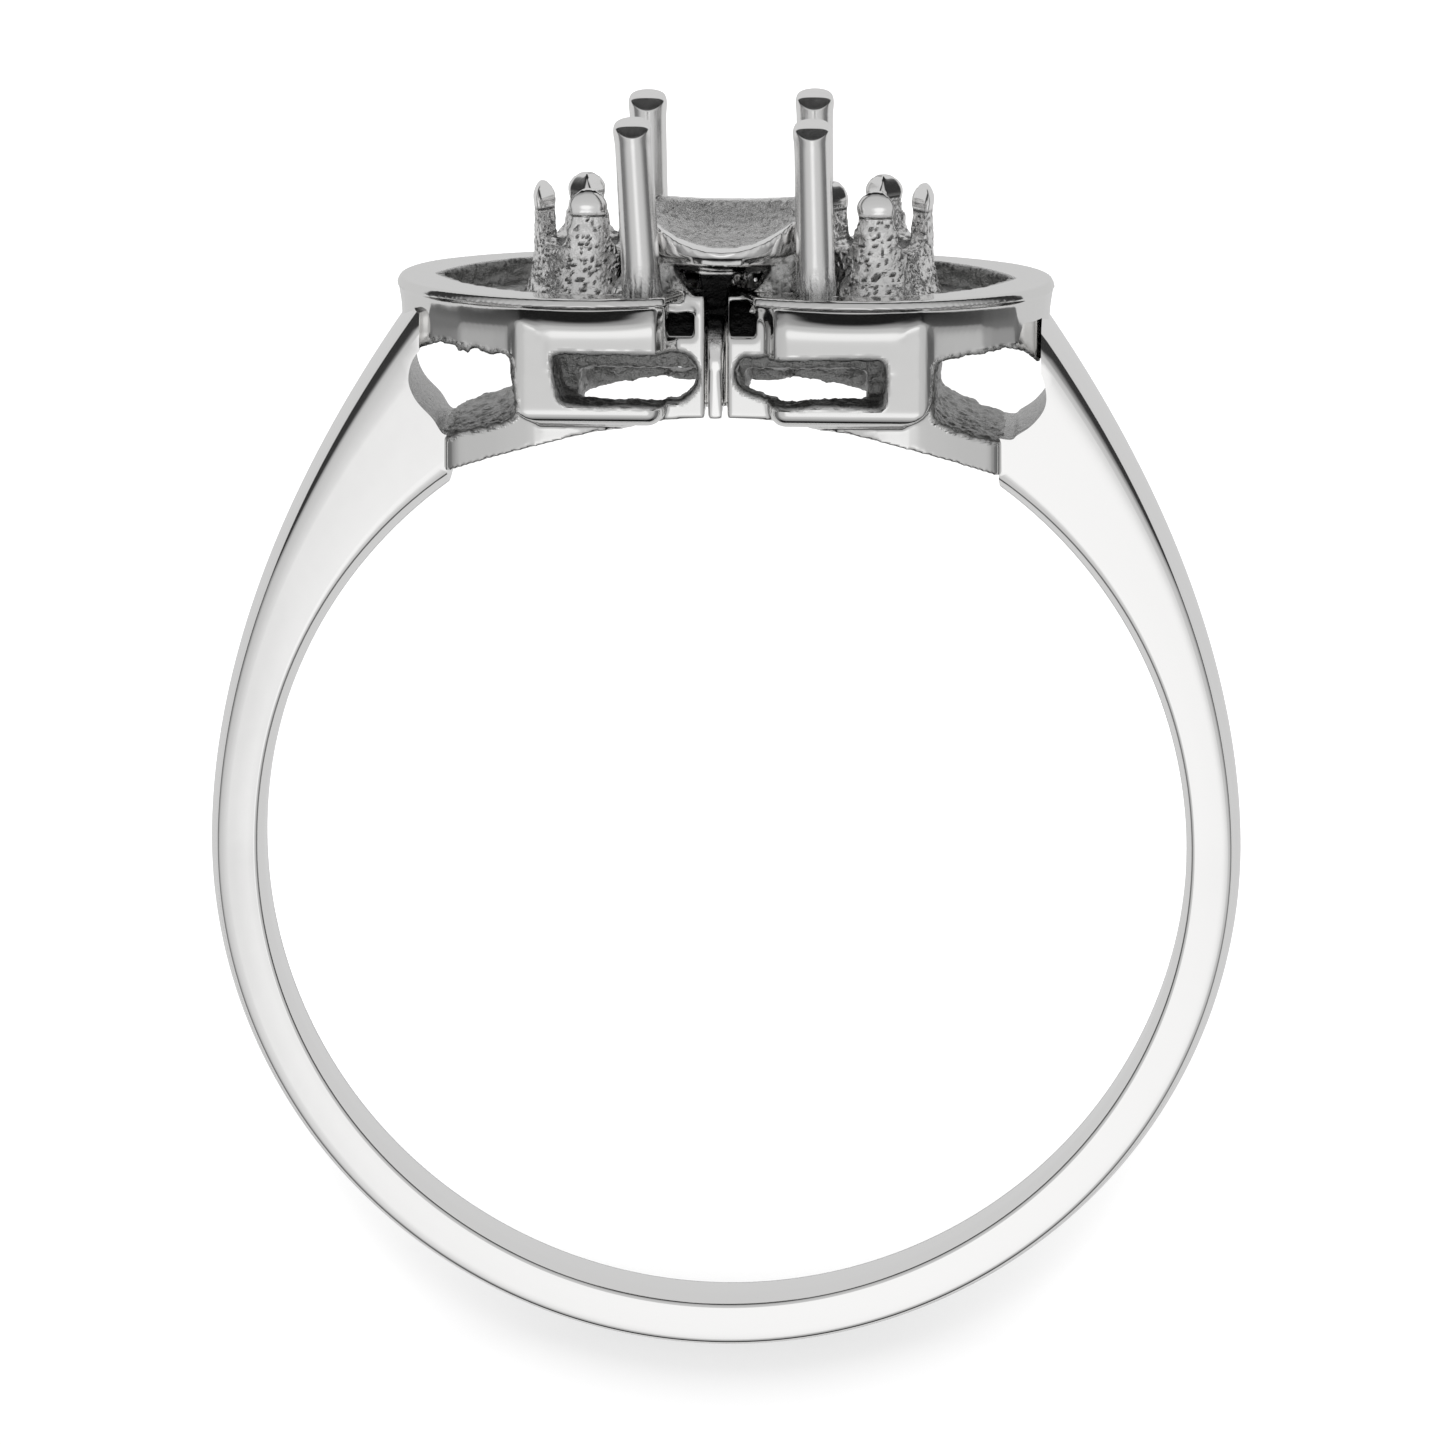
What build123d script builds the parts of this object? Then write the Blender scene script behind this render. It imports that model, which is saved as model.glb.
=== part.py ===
"""Semi mount ring setting: a cast white gold ring with an empty head for three stones, lying on its side.

The ring is drawn upright, with its finger hole along Y and its head towards +Z, and is laid down at the end.
"""

import os
from math import atan2, cos, degrees, radians, sin, sqrt

from build123d import *

# Shank, mm
bore_r = 8.675  # finger hole, a US size 7
shank_thick = 1.02  # wall at the crown of its domed outside
shank_wide = 1.6  # along the finger, at the bottom
shoulder_wide = 2.7  # along the finger, where it meets the head
dome_rise = 0.2  # how far the outside is domed
comfort_land = 1.0  # straight stretch of the finger hole's wall, along the finger
comfort_slope = 0.36  # how fast the wall opens out on both sides of it
flare_power = 1.9  # 2 is a parabola, less is straighter near the head

# Head: two pointed lobes side by side, open at the top
head_rise = 2.18  # top of the rim over the crown of the finger hole
lobe_length = 6.15  # from the middle to the outer end
lobe_half_depth = 2.5  # from the middle to the front of the rim
shoulder_in = 0.32  # top of each shoulder, inside the outer end
rim_band = 0.28  # height of the rim's upright edge
rim_wide = 0.62  # flat top of the rim, front and back
rim_end_wide = 0.8  # the same at the outer ends
rim_overhang = 0.36  # how far the rim stands out over the gallery wall
cove_high = 0.42  # height of the hollow curve under the rim
rim_round = 0.12  # rounded top edges of the rim
wall_corner_r = 0.26  # rounded edges of the gallery's front
wall_foot = -0.25  # its lower edge over the crown of the finger hole
wall_foot_r = 0.7  # rounded outer corner of that edge
floor_drop = 0.4  # floor of the lobes under the rim's top
floor_thick = 0.45
notch_half_wide = 0.72  # the cleft between the lobes, at the front of the rim
notch_half_deep = 1.1  # how near its point comes to the middle
notch_slant = 0.22  # how far the rim's front corner lies outside the cleft
recess_half_wide = 1.05  # the same cleft between the gallery walls
recess_step = 0.52  # how far the gallery wall steps back in it
corbel_high = 1.0  # height of the sloping underside beside the gallery's straight front
corbel_slope = 36  # degrees from upright
cheek_taper = 0.36  # how much nearer the middle the cheek round the side window ends than it starts
hollow_inner, hollow_outer = 0.42, 2.58  # hollow of the lobe, open to the finger, from the middle
front_thick = 1.02  # gallery wall in front of it
hollow_corner_r = 0.7
hollow_high = 0.5  # its top over the crown of the finger hole
column_r = 0.22  # upright rib in the cleft, on both sides
keel_high = 1.9  # where the ribs turn in to the foot of the cup, over the crown
arch_r = 12.6  # flat arch of the gallery's underside
arch_crown = -0.09  # its crown over that of the finger hole, in the middle of the head
arch_slope = 0.07  # how fast it rises towards the back
arch_side_r = 9.0  # the underside's sides, round the finger's line

# Outlines of a lobe, as shares of its length and of its half depth
belly_x = 0.45  # where it is deepest
flank_x, flank_y = 0.845, 0.68  # where it turns in to the outer end
wall_front_x = 0.65  # where the straight front of the gallery wall ends
opening_inner_x, opening_inner_y = 0.09, 0.62  # inner corner of the top opening

# Openings in the gallery wall, heights over the crown of the finger hole
slot_low, slot_high = 0.02, 0.97
slot_inner, slot_outer = 0.55, 3.12
slot_corner_r = 0.16
window_inner = 3.9
window_inner_low, window_inner_high = -0.15, 1.14
window_top_x, window_top = 5.25, 0.96
window_end_x, window_end_z = 5.82, 0.2
window_low_x, window_low = 5.2, -0.68
pocket_low, pocket_high = 1.21, 1.73
pocket_inner, pocket_outer = 0.36, 0.86
pocket_deep = 0.36
pocket_corner_r = 0.12

# Centre setting, for a round stone of 4.5 mm
centre_prong_r = 0.345
centre_prong_x = 1.57
centre_prong_y = 1.7
centre_prong_top = 5.38  # over the crown of the finger hole
prong_lean = 1.2  # degrees, outwards
prong_tip_round = 0.24
cup_r = 1.95  # outside, at the top
cup_foot_r = 0.3
cup_wall = 0.36
cup_top = 3.55  # over the crown of the finger hole
cup_foot = 2.36
scoop_r = 3.4  # shallow dips in the cup's edge between the prongs
scoop_low = 3.2

# Side settings, each for a round stone of 2 mm
side_x = 2.68
side_r = 1.0
side_bore_r = 0.6
side_top = 3.98  # over the crown of the finger hole
side_gap_wide = 0.66  # between its prongs, at the foot
side_gap_top_wide = 0.8  # and at their tips
side_gap_low = 2.8
side_tip_round = 0.2

# Worked out
shank_r = bore_r + shank_thick
rim_z = bore_r + head_rise
rim_low = rim_z - rim_band
floor_z = rim_z - floor_drop
floor_low = floor_z - floor_thick
shoulder_top = rim_low - rim_band / 2
flare_inset = shank_r - lobe_length + shoulder_in
wall_half_depth = lobe_half_depth - rim_overhang
recess_half_deep = wall_half_depth - recess_step
hollow_half_deep = wall_half_depth - front_thick
core_foot = bore_r / 2
beyond = 2.0  # how far cutters run past what they cut
overlap = 0.2  # how far joined pieces run into each other


def flare_point(t):
    """Outline of the right shoulder, at a share t of its height: x, z and the turn of its outward normal."""
    x = shank_r - flare_inset * t**flare_power
    slope = flare_inset * flare_power * t ** (flare_power - 1) / shoulder_top
    return x, shoulder_top * t, degrees(atan2(slope, 1))


def shank_plane(x, z, turn):
    """Plane across the shank at a point of its outside, its own x axis pointing outwards."""
    a = radians(turn)
    return Plane(origin=(x, 0, z), x_dir=(cos(a), 0, sin(a)), z_dir=(-sin(a), 0, cos(a)))


def depth_to_bore(x, z, turn):
    """From the outside, straight inwards to just past the finger hole's wall."""
    a = radians(turn)
    along = x * cos(a) + z * sin(a)
    inner = bore_r - overlap
    return along - sqrt(along**2 - x**2 - z**2 + inner**2)


def shank_section(x, z, turn, wide):
    """D-shaped section, domed on the outside."""
    depth = depth_to_bore(x, z, turn)
    with BuildSketch(shank_plane(x, z, turn)) as section:
        with BuildLine():
            ThreePointArc((-dome_rise, -wide / 2), (0, 0), (-dome_rise, wide / 2))
            Polyline(
                (-dome_rise, wide / 2),
                (-depth, wide / 2),
                (-depth, -wide / 2),
                (-dome_rise, -wide / 2),
            )
        make_face()
    return section.sketch


# The flare's stations, as shares of its height, and the round stretch's, in degrees from the right
flare_shares = (0.22, 0.42, 0.6, 0.77, 0.92, 1.04)
round_turns = (180, 205, 230, 250, 270, 290, 310, 335, 360)


def flare_width(t):
    return shank_wide + (shoulder_wide - shank_wide) * t**1.4


sections = []
for share in reversed(flare_shares):
    fx, fz, turn = flare_point(share)
    sections.append(shank_section(-fx, fz, 180 - turn, flare_width(share)))
for turn in round_turns:
    rx, rz = shank_r * cos(radians(turn)), shank_r * sin(radians(turn))
    sections.append(shank_section(rx, rz, turn, shank_wide))
for share in flare_shares:
    fx, fz, turn = flare_point(share)
    sections.append(shank_section(fx, fz, 360 + turn, flare_width(share)))

# The finger hole's wall opens out a little towards both faces of the shank
with BuildPart() as comfort_bore:
    with BuildSketch():
        with BuildLine():
            half_land = comfort_land / 2
            reach = shoulder_wide
            flared = bore_r + (reach - half_land) * comfort_slope
            Polyline(
                (0, -reach),
                (flared, -reach),
                (bore_r, -half_land),
                (bore_r, half_land),
                (flared, reach),
                (0, reach),
                close=True,
            )
        make_face()
    revolve(axis=Axis.Y)

with BuildPart() as shank:
    loft(sections)
    add(comfort_bore.part, mode=Mode.SUBTRACT)


# The underside of the head: a flat arch that rises towards the back
with BuildPart() as arch_cut:
    with Locations(Location((0, 0, 0), (90, 0, 0))):
        Cylinder(arch_side_r, 2 * (lobe_half_depth + beyond))
    with Locations(
        Location(
            (0, 0, bore_r + arch_crown - arch_r),
            (90 + degrees(atan2(arch_slope, 1)), 0, 0),
        )
    ):
        Cylinder(arch_r, 3 * (lobe_half_depth + beyond), mode=Mode.INTERSECT)


def rim_outline():
    """Outline of the right lobe's rim, a pointed oval with a slanted side towards the cleft."""
    flank = (flank_x * lobe_length, flank_y * lobe_half_depth)
    belly = (belly_x * lobe_length, lobe_half_depth)
    near = (notch_half_wide + notch_slant, 0.9 * lobe_half_depth)
    with BuildSketch() as outline:
        with BuildLine():
            front = ThreePointArc((near[0], -near[1]), (belly[0], -belly[1]), (flank[0], -flank[1]))
            tip = ThreePointArc(front @ 1, (lobe_length, 0), flank)
            back = ThreePointArc(tip @ 1, belly, near)
            Polyline(back @ 1, (0, notch_half_deep), (0, -notch_half_deep), front @ 0)
        make_face()
    return outline.sketch


def core_outline():
    """Outline of the right lobe behind the gallery's front, with the cheek round the side window."""
    front_end = wall_front_x * lobe_length
    flank = (flank_x * lobe_length, recess_half_deep - cheek_taper)
    tip = lobe_length - rim_overhang / 3
    with BuildSketch() as outline:
        with BuildLine():
            Polyline(
                flank,
                (front_end, recess_half_deep),
                (0, recess_half_deep),
                (0, -recess_half_deep),
                (front_end, -recess_half_deep),
                (flank[0], -flank[1]),
            )
            ThreePointArc((flank[0], -flank[1]), (tip, 0), flank)
        make_face()
    return outline.sketch


def opening_outline():
    """Top opening of the right lobe, pointed at both ends."""
    front = lobe_half_depth - rim_wide
    end = lobe_length - rim_end_wide
    near = (opening_inner_x * end, opening_inner_y * front)
    belly = (belly_x * end, front)
    with BuildSketch() as outline:
        with BuildLine():
            ThreePointArc((near[0], -near[1]), (belly[0], -belly[1]), (end, 0))
            ThreePointArc((end, 0), belly, near)
            Line(near, (near[0], -near[1]))
        make_face()
    return outline.sketch


# Gallery: the walls and the rim of the right lobe, filled, with the cove under the rim
with BuildPart() as lobe_block:
    with BuildSketch(Plane.XZ) as front:
        wall_wide = wall_front_x * lobe_length - recess_half_wide
        wall_high = rim_low - bore_r - wall_foot
        with Locations((recess_half_wide + wall_wide / 2, rim_low - wall_high / 2)):
            Rectangle(wall_wide, wall_high)
        fillet(front.vertices().group_by(Axis.Y)[0].sort_by(Axis.X)[-1], wall_foot_r)
    extrude(amount=wall_half_depth, both=True)
    front_faces = lobe_block.faces().filter_by(Axis.Y)
    front_edges = front_faces.edges().filter_by(lambda e: e.center().Z < rim_low - overlap / 10)
    fillet(front_edges, wall_corner_r)
    with BuildSketch(Plane.XY.offset(core_foot)):
        add(core_outline())
    extrude(amount=rim_low - core_foot)
    with BuildSketch(Plane.XY.offset(rim_low)):
        add(rim_outline())
    extrude(amount=rim_band)
    top_edges = lobe_block.faces().sort_by(Axis.Z)[-1].edges()
    fillet(top_edges.filter_by(lambda e: abs(e.center().X) > overlap), rim_round)
    with BuildSketch(Plane.XY.offset(rim_low)):
        add(rim_outline())
    extrude(amount=-cove_high, taper=degrees(atan2(rim_overhang, cove_high)))
    with BuildSketch(Plane.XY.offset(rim_low)):
        add(rim_outline())
    extrude(amount=-corbel_high, taper=corbel_slope)
    add(arch_cut.part, mode=Mode.SUBTRACT)

with BuildPart() as lobe_cuts:
    with BuildSketch() as hollow:
        with Locations(((hollow_inner + hollow_outer) / 2, 0)):
            Rectangle(hollow_outer - hollow_inner, 2 * hollow_half_deep)
        fillet(hollow.vertices().group_by(Axis.X)[-1], hollow_corner_r)
    extrude(amount=bore_r + hollow_high)
    with BuildSketch(Plane.XY.offset(floor_z)):
        add(opening_outline())
    extrude(amount=floor_drop + beyond)

# Slots, side windows and small pockets of the right lobe, cut along the finger
with BuildPart() as slot_cut:
    for side in (-1, 1):
        with BuildSketch(Plane.XZ.offset(side * lobe_half_depth)):
            with Locations(((slot_inner + slot_outer) / 2, bore_r + (slot_low + slot_high) / 2)):
                RectangleRounded(slot_outer - slot_inner, slot_high - slot_low, slot_corner_r)
        extrude(amount=-side * (lobe_half_depth - hollow_half_deep + overlap / 2))

with BuildPart() as window_cut:
    with BuildSketch(Plane.XZ):
        with BuildLine():
            ThreePointArc(
                (window_top_x, bore_r + window_top),
                (window_end_x, bore_r + window_end_z),
                (window_low_x, bore_r + window_low),
            )
            Polyline(
                (window_low_x, bore_r + window_low),
                (window_inner, bore_r + window_inner_low),
                (window_inner, bore_r + window_inner_high),
                (window_top_x, bore_r + window_top),
            )
        make_face()
    extrude(amount=lobe_half_depth + beyond, both=True)

with BuildPart() as pocket_cut:
    for side in (-1, 1):
        with BuildSketch(Plane.XZ.offset(side * lobe_half_depth)):
            with Locations(((pocket_inner + pocket_outer) / 2, bore_r + (pocket_low + pocket_high) / 2)):
                RectangleRounded(
                    pocket_outer - pocket_inner, pocket_high - pocket_low, pocket_corner_r
                )
        extrude(amount=-side * (lobe_half_depth - recess_half_deep + pocket_deep))

# Centre setting: a cup with four prongs round it, over an upright rib in each cleft
with BuildPart() as centre_cup:
    foot_z = bore_r + cup_foot
    lip_z = bore_r + cup_top
    with BuildSketch(Plane.XZ):
        with BuildLine():
            Polyline(
                (0, floor_low),
                (cup_foot_r, floor_low),
                (cup_foot_r, foot_z),
                (cup_r, lip_z - cup_wall / 2),
                (cup_r, lip_z),
                (cup_r - cup_wall, lip_z),
                (cup_foot_r, foot_z + cup_wall),
                (0, foot_z + cup_wall),
                close=True,
            )
        make_face()
    revolve(axis=Axis.Z)
    for plane in (Plane.XZ, Plane.YZ):
        with BuildSketch(plane):
            with Locations((0, bore_r + scoop_low + scoop_r)):
                Circle(scoop_r)
        extrude(amount=cup_r + beyond, both=True, mode=Mode.SUBTRACT)

with BuildPart() as centre_prong:
    prong_high = centre_prong_top - head_rise + floor_drop + floor_thick / 2
    Cylinder(centre_prong_r, prong_high, align=(Align.CENTER, Align.CENTER, Align.MIN))
    fillet(centre_prong.faces().sort_by(Axis.Z)[-1].edges(), prong_tip_round)

with BuildPart() as cleft_ribs:
    with BuildSketch(Plane.XY.offset(core_foot)):
        with Locations((0, -recess_half_deep), (0, recess_half_deep)):
            Circle(column_r)
    extrude(amount=bore_r + keel_high - core_foot)
    add(arch_cut.part, mode=Mode.SUBTRACT)
    with BuildSketch(Plane.YZ):
        with BuildLine():
            Polyline(
                (-recess_half_deep, floor_low),
                (-recess_half_deep - column_r, bore_r + keel_high),
                (-cup_foot_r, foot_z + column_r),
                (cup_foot_r, foot_z + column_r),
                (recess_half_deep + column_r, bore_r + keel_high),
                (recess_half_deep, floor_low),
                close=True,
            )
        make_face()
    extrude(amount=column_r, both=True)

# Side setting: a tube cut into four prongs, with rounded tips
with BuildPart() as side_setting:
    with BuildSketch(Plane.XY.offset(floor_low + overlap)):
        Circle(side_r)
        Circle(side_bore_r, mode=Mode.SUBTRACT)
    extrude(amount=bore_r + side_top - floor_low - overlap)
    tip_edges = side_setting.faces().sort_by(Axis.Z)[-1].edges()
    fillet(tip_edges.sort_by(SortBy.LENGTH)[-1], side_tip_round)
    gap_foot = bore_r + side_gap_low + side_gap_wide / 2
    gap_rise = bore_r + side_top - gap_foot + overlap
    for turn in (45, 135):
        a = radians(turn)
        gap_plane = Plane(origin=(0, 0, gap_foot), x_dir=(cos(a), sin(a), 0), z_dir=(sin(a), -cos(a), 0))
        with BuildSketch(gap_plane):
            Circle(side_gap_wide / 2)
            with BuildLine():
                Polyline(
                    (-side_gap_wide / 2, 0),
                    (side_gap_wide / 2, 0),
                    (side_gap_top_wide / 2, gap_rise),
                    (-side_gap_top_wide / 2, gap_rise),
                    close=True,
                )
            make_face()
        extrude(amount=side_r + beyond, both=True, mode=Mode.SUBTRACT)

# All of it is one casting
with BuildPart() as upright:
    add(lobe_block.part)
    add(shank.part)
    add(lobe_cuts.part, mode=Mode.SUBTRACT)
    add(slot_cut.part, mode=Mode.SUBTRACT)
    add(window_cut.part, mode=Mode.SUBTRACT)
    add(pocket_cut.part, mode=Mode.SUBTRACT)
    with Locations((side_x, 0)):
        add(side_setting.part)
    split(bisect_by=Plane.YZ, keep=Keep.TOP)
    mirror(about=Plane.YZ)
    add(cleft_ribs.part)
    add(centre_cup.part)
    for sx in (-1, 1):
        for sy in (-1, 1):
            with Locations(
                Location(
                    (sx * centre_prong_x, sy * centre_prong_y, floor_z - floor_thick / 2),
                    (-sy * prong_lean, sx * prong_lean, 0),
                )
            ):
                add(centre_prong.part)

# Laid on its side, it rests on the back of the rim and on the shank's edge
lie_angle = degrees(
    atan2(lobe_half_depth - shank_wide / 2, rim_low + shank_r - dome_rise)
)
with BuildPart() as ring_mounting:
    with Locations(Location((0, 0, 0), (lie_angle - 90, 0, 0))):
        add(upright.part)

box = ring_mounting.part.bounding_box()
ring_mounting.part = ring_mounting.part.moved(
    Location((-box.center().X, -box.center().Y, -box.min.Z))
)
ring_mounting.part.label = "ring_mounting"

os.makedirs("parts", exist_ok=True)
export_step(ring_mounting.part, "parts/ring_mounting.step")
print("finger hole's middle", -box.center().Y, -box.min.Z, "turn", lie_angle)
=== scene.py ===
"""Semi mount ring setting in cast white gold, lying on its side on a white table.

Every piece is drawn upright in millimetres, round the middle of the finger hole, with the head
towards +Z and the finger along Y. It is then laid down on its side and brought to metres.
"""

from math import atan2, cos, exp, pi, radians, sin, sqrt

import bpy
from mathutils import Matrix, Vector, noise as chance
from mathutils.bvhtree import BVHTree


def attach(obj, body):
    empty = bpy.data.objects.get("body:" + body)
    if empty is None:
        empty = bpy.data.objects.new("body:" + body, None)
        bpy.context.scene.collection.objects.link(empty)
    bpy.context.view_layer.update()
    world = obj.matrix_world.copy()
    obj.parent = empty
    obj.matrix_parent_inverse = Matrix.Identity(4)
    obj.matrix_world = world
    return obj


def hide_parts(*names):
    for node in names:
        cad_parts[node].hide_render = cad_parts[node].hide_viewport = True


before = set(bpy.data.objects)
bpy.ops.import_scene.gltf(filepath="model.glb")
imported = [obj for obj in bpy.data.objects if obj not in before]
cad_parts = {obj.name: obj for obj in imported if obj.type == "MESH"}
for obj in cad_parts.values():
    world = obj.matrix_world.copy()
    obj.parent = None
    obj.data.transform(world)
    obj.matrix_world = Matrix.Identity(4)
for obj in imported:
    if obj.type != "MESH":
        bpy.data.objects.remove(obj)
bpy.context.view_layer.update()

# Shank: the band round the finger, 14 carat white gold, cast in one with the head. Its outside is
# domed, its flat sides are polished bright, and it widens into two shoulders that run up the head.
bore_r = 8.675
crown = bore_r  # heights in the head are given over the finger hole's crown
shank_thick, shank_wide, shoulder_wide = 1.02, 1.6, 2.7
round_share = 0.62  # of each half, from the foot up; the rest of it is the shoulder
shoulder_top, shoulder_inset = 10.435, 3.865
shoulder_power, widening_power = 1.9, 1.4  # how late the shoulder bends inwards, and widens
stations_a_side = 110
dome_rise = 0.2
edge_r = 0.1
edge_facet, shoulder_facet, facet_turn = 0.006, 0.4, 38  # how wide, its growth, and its angle
side_draft = 0.045  # each side leans in towards the outside
comfort_land, comfort_slope = 1.0, 0.36  # flat middle of the finger hole's wall, slope beside it
white_gold = (0.93, 0.925, 0.92, 1)
mm = 0.001
ring_middle = (0, -2.24725, 1.60556)  # where the finger hole's middle lies, mm
lie_turn = 4.8416 - 90
lying = Matrix.Translation(ring_middle) @ Matrix.Rotation(radians(lie_turn), 4, "X")


def put_down_tools():
    """Leaves edit mode, with nothing selected."""
    if bpy.context.object and bpy.context.object.mode != "OBJECT":
        bpy.ops.object.mode_set(mode="OBJECT")
    bpy.ops.object.select_all(action="DESELECT")


def take_up(piece):
    put_down_tools()
    piece.select_set(True)
    bpy.context.view_layer.objects.active = piece


def finish_with(piece, kind, **settings):
    """Adds a modifier with its settings and applies it."""
    take_up(piece)
    modifier = piece.modifiers.new(kind.lower(), kind)
    for key, value in settings.items():
        setattr(modifier, key, value)
    bpy.ops.object.modifier_apply(modifier=modifier.name)


def turn_out(piece):
    """Makes the faces of a closed shape point outwards."""
    take_up(piece)
    bpy.ops.object.mode_set(mode="EDIT")
    bpy.ops.mesh.select_all(action="SELECT")
    bpy.ops.mesh.normals_make_consistent(inside=False)
    bpy.ops.object.mode_set(mode="OBJECT")


def hand_over(piece, material):
    """Lays a finished piece down, in metres, and gives it its metal and its place in the ring."""
    take_up(piece)
    piece.matrix_world = Matrix.Scale(mm, 4) @ lying
    bpy.ops.object.transform_apply(location=True, rotation=True, scale=True)
    piece.data.materials.clear()
    piece.data.materials.append(material)
    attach(piece, "root")
    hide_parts("ring_mounting")


def shank_station(step):
    """Middle of the outside, turn and width of the shank, from -1, left shoulder, to 1, right."""
    side = 1 if step >= 0 else -1
    share = abs(step)
    outer_r = bore_r + shank_thick
    if share < round_share:
        a = -pi / 2 + side * share / round_share * pi / 2
        return outer_r * cos(a), outer_r * sin(a), a, shank_wide
    t = (share - round_share) / (1 - round_share)
    x = outer_r - shoulder_inset * t**shoulder_power
    lean = atan2(shoulder_inset * shoulder_power * t ** (shoulder_power - 1), shoulder_top)
    wide = shank_wide + (shoulder_wide - shank_wide) * t**widening_power
    return side * x, shoulder_top * t, lean if side > 0 else pi - lean, wide


def half_section(x, z, turn, wide, round_r, flat):
    """Half of the D-shaped section, from the dome's middle to the middle of the finger hole's wall.

    Its points are (outwards, along the finger). Its rounded outer edge has a facet, flat wide.
    """
    along = x * cos(turn) + z * sin(turn)
    depth = along - sqrt(max(along**2 - x * x - z * z + bore_r**2, 0))
    half = wide / 2
    facet = radians(facet_turn)
    dome_half = half - round_r - flat * sin(facet)
    points = []
    for k in range(6):  # domed outside
        v = dome_half * k / 5
        points.append((-(dome_rise - round_r * 0.3) * (v / half) ** 2, v))
    start = points[-1][0] - round_r
    for k, a in enumerate((78, 60, facet_turn, facet_turn, 18, 0)):  # outer edge and its facet
        u, v = start + round_r * sin(radians(a)), dome_half + round_r * cos(radians(a))
        if k > 2:
            u, v = u - flat * cos(facet), v + flat * sin(facet)
        points.append((u, v))
    start -= flat * cos(facet)
    inner = -depth
    lift = max(half - comfort_land / 2, 0) * comfort_slope
    rise = inner + lift  # where the side ends and the finger hole's wall begins
    for k in range(1, 6):  # side
        share = k / 6
        v = half + side_draft * (0.2 + share) * (1 - 0.3 * share) - 0.01
        points.append((start + (rise - 0.05 - start) * share, v))
    # Inner edge, then the finger hole's wall, sloped and flat
    points += [(rise + 0.05, half + 0.026), (rise + 0.01, half + 0.01), (rise - 0.02, half - 0.03)]
    points.append((inner + lift * 0.5, half - (half - comfort_land / 2) * 0.5))
    points.append((inner + lift * 0.06, comfort_land / 2))
    return points + [(inner, comfort_land / 4), (inner, 0)]


def whole_section(step):
    x, z, turn, wide = shank_station(step)
    t = max(0, (abs(step) - round_share) / (1 - round_share))
    round_r = edge_r + edge_r * t * (1.6 - t)
    half = half_section(x, z, turn, wide, round_r, edge_facet + shoulder_facet * max(0, t - 0.5))
    ring = half + [(u, -v) for u, v in reversed(half[1:-1])]
    return [(x + u * cos(turn), v, z + u * sin(turn)) for u, v in ring]


stations = [k / stations_a_side for k in range(-stations_a_side, stations_a_side + 1)]
section_points = len(whole_section(0))
put_down_tools()
bpy.ops.mesh.primitive_torus_add(
    major_radius=bore_r + shank_thick / 2, minor_radius=shank_thick / 2,
    major_segments=len(stations), minor_segments=section_points,
)
shank = bpy.context.object
shank.name = "shank"
for number, step in enumerate(stations):
    for corner, point in enumerate(whole_section(step)):
        shank.data.vertices[number * section_points + corner].co = point
# The torus is opened between the tops of the shoulders, and each top gets an end face
last = (len(stations) - 1) * section_points
bpy.ops.object.mode_set(mode="EDIT")
bpy.ops.mesh.select_mode(type="FACE")
bpy.ops.mesh.select_all(action="DESELECT")
bpy.ops.object.mode_set(mode="OBJECT")
for face in shank.data.polygons:
    face.select = min(face.vertices) < section_points and max(face.vertices) >= last
bpy.ops.object.mode_set(mode="EDIT")
bpy.ops.mesh.delete(type="FACE")
bpy.ops.mesh.select_mode(type="EDGE")
bpy.ops.mesh.select_all(action="DESELECT")
bpy.ops.mesh.select_non_manifold()
bpy.ops.mesh.edge_face_add()
turn_out(shank)


def loft(name, levels, along="Z"):
    """A filled circle, pulled out level by level, with each ring then moved onto its outline."""
    count = len(levels[0][1])
    put_down_tools()
    bpy.ops.mesh.primitive_circle_add(vertices=count, radius=1, fill_type="NGON")
    piece = bpy.context.object
    piece.name = name
    corner_at = {round(atan2(v.co.y, v.co.x), 4): v.index for v in piece.data.vertices}
    bpy.ops.object.mode_set(mode="EDIT")
    bpy.ops.mesh.select_all(action="SELECT")
    for _ in levels[1:]:
        bpy.ops.mesh.extrude_region_move(TRANSFORM_OT_translate={"value": (0, 0, 1)})
    bpy.ops.object.mode_set(mode="OBJECT")
    for vertex in piece.data.vertices:
        place, outline = levels[round(vertex.co.z)]
        a, b = outline[corner_at[round(atan2(vertex.co.y, vertex.co.x), 4)]]
        vertex.co = (a, b, place) if along == "Z" else (a, place, b)
    turn_out(piece)
    return piece


def slab(name, outline, start, end, along="Z"):
    return loft(name, [(start, outline), (end, outline)], along)


def oblong(x0, x1, z0, z1):
    return [(x0, z0), (x1, z0), (x1, z1), (x0, z1)]


def over_crown(points):
    return [(x, crown + z) for x, z in points]


def flowing(points, steps=5):
    """A smooth closed line through the points."""
    line = []
    count = len(points)
    for i in range(count):
        p0, p1, p2, p3 = (Vector(points[(i + k - 1) % count]) for k in range(4))
        for k in range(steps):
            t = k / steps
            q = 0.5 * (
                2 * p1 + (p2 - p0) * t + (2 * p0 - 5 * p1 + 4 * p2 - p3) * t**2
                + (3 * p1 - p0 - 3 * p2 + p3) * t**3
            )
            line.append((q.x, q.y))
    return line


def combine(piece, other, how):
    """Adds, cuts out or keeps the shared part of another shape, which is left as it is."""
    finish_with(piece, "BOOLEAN", operation=how, object=other, solver="MANIFOLD")


def scrap(*pieces):
    for piece in pieces:
        bpy.data.objects.remove(piece)


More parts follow.
